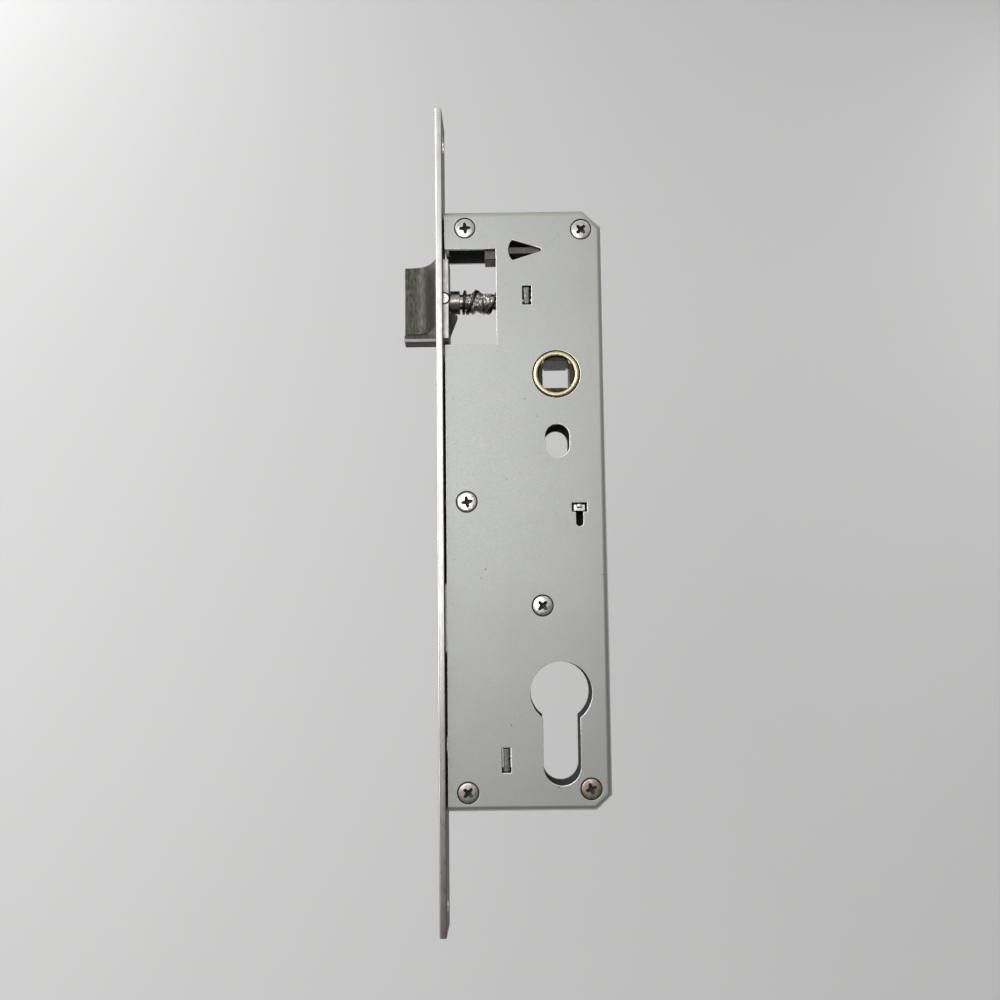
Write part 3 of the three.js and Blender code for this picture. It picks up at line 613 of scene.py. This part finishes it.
def coiled_spring(start, end, outer, wire, closed_turns, open_turns, place, axis, phase=0.0):
    """A round-wire compression spring about an axis through place."""
    turn = turn_from_z(axis)
    radius = outer - wire / 2
    points = []
    for along, angle in coil_points(start, end, wire, closed_turns, open_turns):
        local = Vector((radius * math.cos(angle + phase), radius * math.sin(angle + phase), along))
        points.append(Vector(place) + turn @ local)
    return tube_along(points, wire / 2)


def passing_object(name, bm):
    """An object that only lasts for one cut."""
    bmesh.ops.recalc_face_normals(bm, faces=bm.faces)
    mesh = bpy.data.meshes.new(name)
    bm.to_mesh(mesh)
    bm.free()
    thing = bpy.data.objects.new(name, mesh)
    bpy.context.scene.collection.objects.link(thing)
    return thing


def cut_away(bm, cutter):
    """bm less the cutter, by an exact boolean; both are closed."""
    base = passing_object("base", bm)
    tool = passing_object("tool", cutter)
    boolean = base.modifiers.new("cut", "BOOLEAN")
    boolean.object = tool
    boolean.solver = "EXACT"
    bpy.context.view_layer.update()
    evaluated = base.evaluated_get(bpy.context.evaluated_depsgraph_get())
    result = bmesh.new()
    result.from_mesh(evaluated.to_mesh())
    evaluated.to_mesh_clear()
    for thing in (base, tool):
        mesh = thing.data
        bpy.data.objects.remove(thing)
        bpy.data.meshes.remove(mesh)
    make_faces_whole(result, same_place=0.001 * MM, same_plane=math.radians(1))
    return result


# ---------------------------------------------------------------------------------------------
# Screws
# ---------------------------------------------------------------------------------------------

# For each screw, the turn of its recess in degrees and its finish.
SCREWS = (
    (5, "bright_screw"),
    (45, "bright_screw"),
    (10, "bright_screw"),
    (45, "bright_screw"),
    (48, "dull_screw"),
    (20, "brown_screw"),
)
HEAD_DOME = 0.10 * MM
HEAD_RIM = 0.16 * MM
CONE_END = 1.45 * MM
SHANK_RADIUS = 1.5 * MM
SHANK_TIP = 0.7 * SHANK_RADIUS
THREAD_ROOT = 0.86 * SHANK_RADIUS
THREAD_START = 1.6 * MM
THREAD_PITCH = 0.5 * MM
CROSS_REACH = 1.75 * MM
CROSS_HALF_WIDTH = 0.46 * MM
CROSS_DEPTH = 1.25 * MM


def cross_cutter(place, turn):
    """The recess of a cross-head screw: four round-ended wings that taper to a point."""
    bm = bmesh.new()
    wing_steps = 6
    inner_corner = CROSS_HALF_WIDTH * 1.25
    outline = []
    for wing in range(4):
        spin = Matrix.Rotation(math.radians(turn) + wing * math.pi / 2, 2)
        outline.append(spin @ Vector((inner_corner, -inner_corner)))
        for step in range(wing_steps + 1):
            angle = -math.pi / 2 + math.pi * step / wing_steps
            reach = CROSS_REACH - CROSS_HALF_WIDTH + CROSS_HALF_WIDTH * math.cos(angle)
            outline.append(spin @ Vector((reach, CROSS_HALF_WIDTH * math.sin(angle))))
    above_head = -0.6 * MM
    levels = [(above_head, 1.12), (0.0, 1.0), (CROSS_DEPTH * 0.55, 0.72), (CROSS_DEPTH, 0.16)]
    rings = []
    for depth, scale in levels:
        ring = [bm.verts.new(Vector((p.x * scale, depth, p.y * scale)) + place) for p in outline]
        rings.append(ring)
    close_tube(bm, rings)
    return bm


def screw_profile(head_radius, length):
    """A slightly domed head with a rounded rim, a cone and a threaded shank, as (along, radius) points."""
    dome_steps = 6
    profile = [(0.0, 0.0)]
    for step in range(1, dome_steps + 1):
        share = step / dome_steps
        profile.append((HEAD_DOME * share ** 2, (head_radius - HEAD_RIM) * share))
    for down, inwards in ((0.30, 0.35), (0.95, 0.0), (1.6, 0.15)):
        profile.append((HEAD_DOME + HEAD_RIM * down, head_radius - HEAD_RIM * inwards))
    profile.append((CONE_END, SHANK_RADIUS))
    along = THREAD_START
    while along < length - THREAD_PITCH:
        profile.append((along, THREAD_ROOT))
        profile.append((along + THREAD_PITCH / 2, SHANK_RADIUS))
        along += THREAD_PITCH
    profile.append((length, SHANK_TIP))
    profile.append((length, 0.0))
    return profile


def make_screw(number, turn, finish):
    """A countersunk cross-head screw, turned by some degrees, with painted shade in its recess."""
    node = f"case_screw_{number}"
    low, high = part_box(node)
    middle = node_middle(node)
    place = Vector((middle.x, low.y, middle.z))
    profile = screw_profile((high.x - low.x) / 2, high.y - low.y)
    bm = lathe(profile, place, (0, 1, 0), segments=64)
    screw = stand_in(node, cut_away(bm, cross_cutter(place, turn)), finish)
    under_dome = low.y + 0.22 * MM

    def inside_recess(centre, normal):
        reach = math.hypot(centre.x - place.x, centre.z - place.z)
        return centre.y > under_dome and reach < CROSS_REACH * 1.1 and normal.y < 0.95

    # Painted shade on the recess walls.
    paint(screw, "recess", inside_recess)


# ---------------------------------------------------------------------------------------------
# Springs and grease
# ---------------------------------------------------------------------------------------------

GREASE_START = 1.6 * MM
GREASE_LENGTH = 7.4 * MM
GREASE_RADIUS = 2.6 * MM
GREASE_LEAST = 1.2 * MM
GREASE_MOST = 3.9 * MM
GRAIN_HEIGHT = 0.35 * MM
GRAIN_FALLOFF = 0.9
GRAIN_LACUNARITY = 2.1
GRAIN_OCTAVES = 4
LUMP_SPREAD = 0.16
# For each lump, its place as a share of the length, its angle, its angular spread and its height.
LUMPS = (
    (0.22, -1.9, 0.9, 1.5 * MM),
    (0.38, 1.4, 0.8, 1.5 * MM),
    (0.62, -2.1, 0.8, 1.2 * MM),
    (0.80, -1.2, 0.7, 1.0 * MM),
)


def make_latch_spring():
    """The spring round the latch's stem; its far end stays where it is."""
    low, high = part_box("latch_spring")
    middle = node_middle("latch_spring")
    bm = coiled_spring(
        low.x, high.x, outer=(high.y - low.y) / 2, wire=0.9 * MM, closed_turns=1.3, open_turns=2.3,
        place=(0, middle.y, middle.z), axis=(1, 0, 0), phase=2.2)
    spring = stand_in("latch_spring", bm)
    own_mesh(spring)


def grease_radius(share, angle):
    """The grease's reach from the stem's axis, at a share of its length."""
    swell = 0.0
    for where, around, spread, height in LUMPS:
        turn = math.remainder(angle - around, math.tau)
        swell += height * math.exp(-((share - where) / LUMP_SPREAD) ** 2 - (turn / spread) ** 2)
    grain_place = Vector((share * 9, math.cos(angle) * 2, math.sin(angle) * 2))
    grain = noise.fractal(grain_place, GRAIN_FALLOFF, GRAIN_LACUNARITY, GRAIN_OCTAVES)
    fade = math.sin(math.pi * share) ** 0.5 if 0 < share < 1 else 0.0
    radius = GREASE_RADIUS + (swell + GRAIN_HEIGHT * grain) * fade
    return min(max(radius, GREASE_LEAST), GREASE_MOST)


def make_latch_grease():
    """Lumps of old grease round the stem, worked into the spring's left half."""
    low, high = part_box("latch_spring")
    middle = node_middle("latch_spring")
    left_end = Vector((low.x + GREASE_START, middle.y, middle.z))
    along_steps = 60
    around_steps = 64
    bm = bmesh.new()
    rings = []
    for row in range(along_steps + 1):
        share = row / along_steps
        ring = []
        for step in range(around_steps):
            angle = math.tau * step / around_steps
            radius = grease_radius(share, angle)
            offset = Vector((share * GREASE_LENGTH, radius * math.cos(angle), radius * math.sin(angle)))
            ring.append(bm.verts.new(left_end + offset))
        rings.append(ring)
    close_tube(bm, rings)
    lumps = add_piece("latch_grease", bm, MATERIALS["grease"], "case")
    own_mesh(lumps)


def make_return_spring():
    """The upright spring under the return slide; its foot stays where it is."""
    low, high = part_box("return_spring")
    middle = node_middle("return_spring")
    bm = coiled_spring(
        low.z, high.z, outer=(high.x - low.x) / 2, wire=0.6 * MM, closed_turns=1.25, open_turns=7,
        place=(middle.x, middle.y, 0), axis=(0, 0, 1))
    spring = stand_in("return_spring", bm)
    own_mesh(spring)


def make_catch_spring():
    """A close-wound torsion spring round the catch pin, with one leg each way."""
    low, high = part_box("catch_spring")
    middle = node_middle("catch_spring")
    wire = 0.7 * MM
    leg = 5 * MM
    turns = 4.5
    steps_a_turn = 32
    radius = (high.x - low.x) / 2 - wire / 2
    first = low.y + wire / 2
    pitch = (high.y - low.y - wire) / turns
    points = []
    count = int(turns * steps_a_turn)
    for step in range(count + 1):
        turned = turns * step / count
        angle = math.tau * turned
        around = Vector((radius * math.cos(angle), 0, radius * math.sin(angle)))
        points.append(Vector((middle.x, first + pitch * turned, middle.z)) + around)
    start_leg = points[0] + Vector((0, 0, -leg))
    end_ahead = (points[-1] - points[-2]).normalized()
    end_leg = points[-1] + Vector((end_ahead.x, 0, end_ahead.z)).normalized() * leg
    stand_in("catch_spring", tube_along([start_leg, *points, end_leg], wire / 2))


# ---------------------------------------------------------------------------------------------
# Turned and plain pieces
# ---------------------------------------------------------------------------------------------


def make_bushes():
    """Turned brass rings with rounded lips."""
    wall = 1.3 * MM
    lip_radius = 0.42 * MM
    for node in ("hub_bush_front", "hub_bush_back"):
        low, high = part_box(node)
        middle = node_middle(node)
        outer = (high.x - low.x) / 2
        profile = rounded_ring(outer - wall, outer, low.y, high.y, lip_radius)
        stand_in(node, lathe(profile, (middle.x, 0, middle.z), (0, 1, 0), segments=128))


USUAL_EDGE = 0.12 * MM
EDGE_WIDTHS = {
    "cover_tray": 0.18 * MM,
    "base_plate": 0.2 * MM,
    "faceplate": 0.22 * MM,
    "deadbolt": 0.35 * MM,
    "hub": 0.08 * MM,
    "return_slide": 0.2 * MM,
}
GUIDES = ("latch_guide", "cylinder_screw_guide")
FINISHES = {
    "hub": "hub_iron",
    "latch_stem": "turned_steel",
    # The return slide's finish is painted shade.
    "return_slide": "shaded_steel",
    "catch_lever": "dark_steel",
    "latch_guide": "dull_steel",
    "cylinder_screw_guide": "dull_steel",
}


def narrow_tab(bm, depth, share):
    """Narrows a tab at its tip, which is what lies in front of depth."""
    tip = [vertex for vertex in bm.verts if vertex.co.y < depth]
    middle = sum(vertex.co.x for vertex in tip) / len(tip)
    for vertex in tip:
        vertex.co.x = middle + (vertex.co.x - middle) * share


def make_latch_head():
    """The latch, with its foot's front corner drawn in from the tip."""
    corner_depth = 0.6 * MM
    edge_width = 0.28 * MM
    flange_thickness = 1.6 * MM
    bm = cad_bmesh("latch_head")
    near_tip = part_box("latch_head")[0].x + 0.3 * MM
    for vertex in bm.verts:
        if vertex.co.x < near_tip and vertex.co.y < 0:
            vertex.co.x += corner_depth
    soften_edges(bm, edge_width)
    latch = stand_in("latch_head", bm)
    weight_normals(latch)
    flange_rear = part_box("faceplate")[1].x + flange_thickness
    # The lower end gets a painted highlight band and painted shade.
    paint(latch, "latch_end", lambda centre, normal: normal.z < -0.8 and centre.x < 0)
    # Painted shade on the wedge behind the flange and on the faces turned to the back.
    paint(latch, "shaded_steel", lambda centre, normal: centre.x > flange_rear or normal.x > 0.3)


def make_guides():
    """The two plates whose tabs show in the case's slots."""
    tip_length = 0.2 * MM
    tip_share = 0.6
    edge_width = 0.2 * MM
    for node in GUIDES:
        bm = cad_bmesh(node)
        narrow_tab(bm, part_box(node)[0].y + tip_length, tip_share)
        soften_edges(bm, edge_width)
        weight_normals(stand_in(node, bm, FINISHES[node]))


def make_plain_pieces():
    """Every other node, with its CAD shape and rounded edges."""
    shown = {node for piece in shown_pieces() for node in piece.get("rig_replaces", [])}
    plain = {}
    for node in sorted(set(frame["nodes"]) - shown):
        bm = cad_bmesh(node)
        soften_edges(bm, EDGE_WIDTHS.get(node, USUAL_EDGE))
        plain[node] = stand_in(node, bm, FINISHES.get(node))
        weight_normals(plain[node])
    return plain


def paint_case(plain):
    """Painted shade in the screw holes, the tab slots and on the inside faces, and bright cut edges round the
    openings: bare steel with a painted highlight.
    """
    case_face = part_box("cover_tray")[0].y
    edge_rear = case_face + 0.3 * MM
    hole_rear = case_face + 1.5 * MM
    screw_hole_reach = 3.3 * MM
    slot_margin = 0.55 * MM
    screw_middles = [node_middle(f"case_screw_{number + 1}") for number in range(len(SCREWS))]
    tab_boxes = [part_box(node) for node in GUIDES]

    def near_screw(centre):
        nearest = min(math.hypot(centre.x - at.x, centre.z - at.z) for at in screw_middles)
        return nearest < screw_hole_reach

    def near_tab(centre):
        return any(
            low.x - slot_margin < centre.x < high.x + slot_margin
            and low.z - slot_margin < centre.z < high.z + slot_margin
            for low, high in tab_boxes)

    # Hole and slot walls that get painted shade.
    def in_shaded_hole(centre, normal):
        in_hole_wall = centre.y < hole_rear and abs(normal.y) < 0.95
        return in_hole_wall and (near_screw(centre) or near_tab(centre))

    def cut(centre, normal):
        return centre.y < edge_rear and abs(normal.y) < 0.97

    # Bare cut steel round the openings, painted bright as their highlight.
    paint(plain["cover_tray"], "bare_steel_and_highlight", cut)
    # Painted shade in the screw holes and tab slots.
    paint(plain["cover_tray"], "painted_hole_shade", in_shaded_hole)
    # Painted shade on the tray's inside faces and on the base plate's inside faces.
    paint(plain["cover_tray"], "shaded_inner_zinc", lambda centre, normal: normal.y > 0.8)
    paint(plain["base_plate"], "shaded_inner_zinc", lambda centre, normal: normal.y < -0.8)


def paint_works(plain):
    """Second finishes on the works: painted shade on the faceplate's back and the catch lever's block, bare
    steel with a painted highlight on the return slide's lug, and a machined collar on the stem.
    """
    lug_rear = -6 * MM
    window_side = 20 * MM
    bare_stem = 2.7 * MM
    stem_middle = node_middle("latch_stem")

    def on_lug(centre, normal):
        return normal.y < -0.3 and centre.y < lug_rear

    def on_collar(centre, normal):
        return math.hypot(centre.y - stem_middle.y, centre.z - stem_middle.z) > bare_stem

    # Painted shade on the faceplate's back, in the gap by the case.
    paint(plain["faceplate"], "shaded_steel", lambda centre, normal: normal.x > 0.8)
    # Bare steel on the lug, painted bright as its highlight.
    paint(plain["return_slide"], "bare_steel_and_highlight", on_lug)
    # Painted shade on the catch lever's block.
    paint(plain["catch_lever"], "shaded_steel", lambda centre, normal: centre.x < window_side)
    paint(plain["latch_stem"], "collar_steel", on_collar)


# ---------------------------------------------------------------------------------------------
# The lock
# ---------------------------------------------------------------------------------------------

make_camera()
make_lights()
make_world()
make_stage()

for number, (turn, finish) in enumerate(SCREWS, 1):
    make_screw(number, turn, finish)
make_latch_spring()
make_latch_grease()
make_return_spring()
make_catch_spring()
make_bushes()
make_guides()
make_latch_head()
plain_pieces = make_plain_pieces()
paint_case(plain_pieces)
paint_works(plain_pieces)
